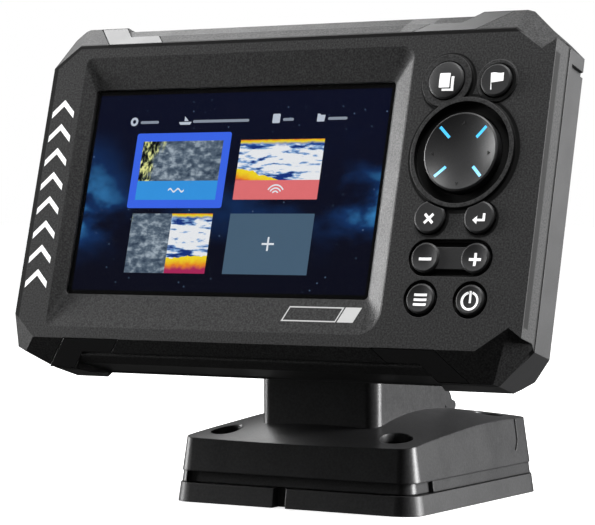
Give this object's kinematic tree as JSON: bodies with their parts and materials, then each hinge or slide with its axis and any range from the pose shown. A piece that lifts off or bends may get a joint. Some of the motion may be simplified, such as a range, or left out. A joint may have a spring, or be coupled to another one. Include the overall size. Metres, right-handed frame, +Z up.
{
  "type": "chartplotter display",
  "caption": "Marine chartplotter: colour display head with navigation keys and direction pad on a tilting, swivelling quick-release dash bracket.",
  "frame": {"origin": "centre of the bracket's underside", "axes": "+X to the right of a person facing the screen, -Y towards that person, +Z up"},
  "size_m": [0.1804, 0.1108, 0.1521],
  "materials": {
    "bezel_plastic": "fine spark-textured charcoal moulding",
    "housing_plastic": "satin charcoal moulding",
    "trim_plastic": "smooth dark inlay",
    "key_rubber": "soft-touch keys with white legends",
    "light_guide": "translucent blue light pipe",
    "window_glass": "clear bonded cover glass",
    "screen": "lit colour display",
    "electronics": "green solder-masked boards",
    "white_film": "reflective backlight and flat cables",
    "bare_steel": "zinc-plated and stainless small parts",
    "tin_shield": "pressed shields and plates",
    "pin_brass": "plated contact pins",
    "seal_rubber": "black silicone seals",
    "bracket_plastic": "glass-filled nylon with a fine texture"
  },
  "bodies": {
    "base": {"dash_plate": "bracket_plastic", "base_pad": "seal_rubber", "swivel_pivot": "bare_steel", "pivot_nut": "bare_steel", "swivel_washer": "bare_steel", "wave_washer": "bare_steel"},
    "turret": {"turret": "bracket_plastic", "tilt_bolt": "bare_steel", "tilt_nut": "bare_steel", "friction_washers": "bare_steel", "lever_pin": "bare_steel", "lever_spring": "bare_steel"},
    "lever": {"release_lever": "bracket_plastic"},
    "cradle": {"cradle": "bracket_plastic", "latch_spring": "bare_steel"},
    "latch": {"head_latch": "bracket_plastic"},
    "zoom": {"zoom_rocker": "key_rubber"},
    "dpad_gimbal": {"dpad_actuator": "trim_plastic"},
    "dpad": {"dpad_cap": "key_rubber", "dpad_light_guide": "light_guide"},
    "page_button": {"page_key": "key_rubber"},
    "waypoint_button": {"waypoint_key": "key_rubber"},
    "exit_button": {"exit_key": "key_rubber"},
    "enter_button": {"enter_key": "key_rubber"},
    "menu_button": {"menu_key": "key_rubber"},
    "power_button": {"power_key": "key_rubber"},
    "head": {"front_bezel": "bezel_plastic", "rear_housing": "housing_plastic", "trim_top_left": "trim_plastic", "trim_top_right": "trim_plastic", "trim_bottom_left": "trim_plastic", "trim_bottom_right": "trim_plastic", "display_window": "window_glass", "lcd_panel": "screen", "lcd_backlight": "white_film", "lcd_flex": "white_film", "keypad_flex": "white_film", "lcd_chassis": "tin_shield", "processor_shield": "tin_shield", "main_board": "electronics", "keypad_board": "electronics", "key_domes": "seal_rubber", "keypad_mat": "seal_rubber", "window_gasket": "seal_rubber", "housing_gasket": "seal_rubber", "socket_seals": "seal_rubber", "gps_antenna": "white_film", "buzzer": "trim_plastic", "power_socket": "trim_plastic", "sonar_socket": "trim_plastic", "power_insert": "trim_plastic", "sonar_insert": "trim_plastic", "power_pins": "pin_brass", "sonar_pins": "pin_brass", "breather_vent": "seal_rubber", "housing_screws": "bare_steel", "board_screws": "bare_steel"}
  },
  "joints": [
    {"name": "swivel", "type": "hinge", "parent": "base", "child": "turret", "pos_m": [0, 0, 0.0062], "axis": [0, 0, 1], "range_deg": [-60, 60]},
    {"name": "release_lever_hinge", "type": "hinge", "parent": "turret", "child": "lever", "pos_m": [0, 0.0264, 0.043], "axis": [1, 0, 0], "range_deg": [0, 12], "stiffness_Nm_per_rad": 0.5},
    {"name": "tilt", "type": "hinge", "parent": "turret", "child": "cradle", "pos_m": [0, -0.008, 0.066], "axis": [-1, 0, 0], "range_deg": [-12, 25]},
    {"name": "latch_slide", "type": "slide", "parent": "cradle", "child": "latch", "axis": [0, 0.9654, -0.2608], "range_m": [0, 0.0024], "stiffness_N_per_m": 400},
    {"name": "head_slide", "type": "slide", "parent": "cradle", "child": "head", "axis": [0, 0.2608, 0.9654], "range_m": [0, 0.05]},
    {"name": "page_press", "type": "slide", "parent": "head", "child": "page_button", "axis": [0, 0.9654, -0.2608], "range_m": [0, 0.0008], "stiffness_N_per_m": 500},
    {"name": "waypoint_press", "type": "slide", "parent": "head", "child": "waypoint_button", "axis": [0, 0.9654, -0.2608], "range_m": [0, 0.0008], "stiffness_N_per_m": 500},
    {"name": "exit_press", "type": "slide", "parent": "head", "child": "exit_button", "axis": [0, 0.9654, -0.2608], "range_m": [0, 0.0008], "stiffness_N_per_m": 500},
    {"name": "enter_press", "type": "slide", "parent": "head", "child": "enter_button", "axis": [0, 0.9654, -0.2608], "range_m": [0, 0.0008], "stiffness_N_per_m": 500},
    {"name": "menu_press", "type": "slide", "parent": "head", "child": "menu_button", "axis": [0, 0.9654, -0.2608], "range_m": [0, 0.0008], "stiffness_N_per_m": 500},
    {"name": "power_press", "type": "slide", "parent": "head", "child": "power_button", "axis": [0, 0.9654, -0.2608], "range_m": [0, 0.0008], "stiffness_N_per_m": 500},
    {"name": "zoom_rock", "type": "hinge", "parent": "head", "child": "zoom", "pos_m": [0.06435, -0.05615, 0.07785], "axis": [0, 0.2608, 0.9654], "range_deg": [-3, 3], "stiffness_Nm_per_rad": 0.3},
    {"name": "dpad_up_down", "type": "hinge", "parent": "head", "child": "dpad_gimbal", "pos_m": [0.064, -0.04612, 0.10808], "axis": [1, 0, 0], "range_deg": [-3, 3], "stiffness_Nm_per_rad": 0.3},
    {"name": "dpad_left_right", "type": "hinge", "parent": "dpad_gimbal", "child": "dpad", "pos_m": [0.064, -0.04612, 0.10808], "axis": [0, 0.2608, 0.9654], "range_deg": [-3, 3], "stiffness_Nm_per_rad": 0.3}
  ]
}
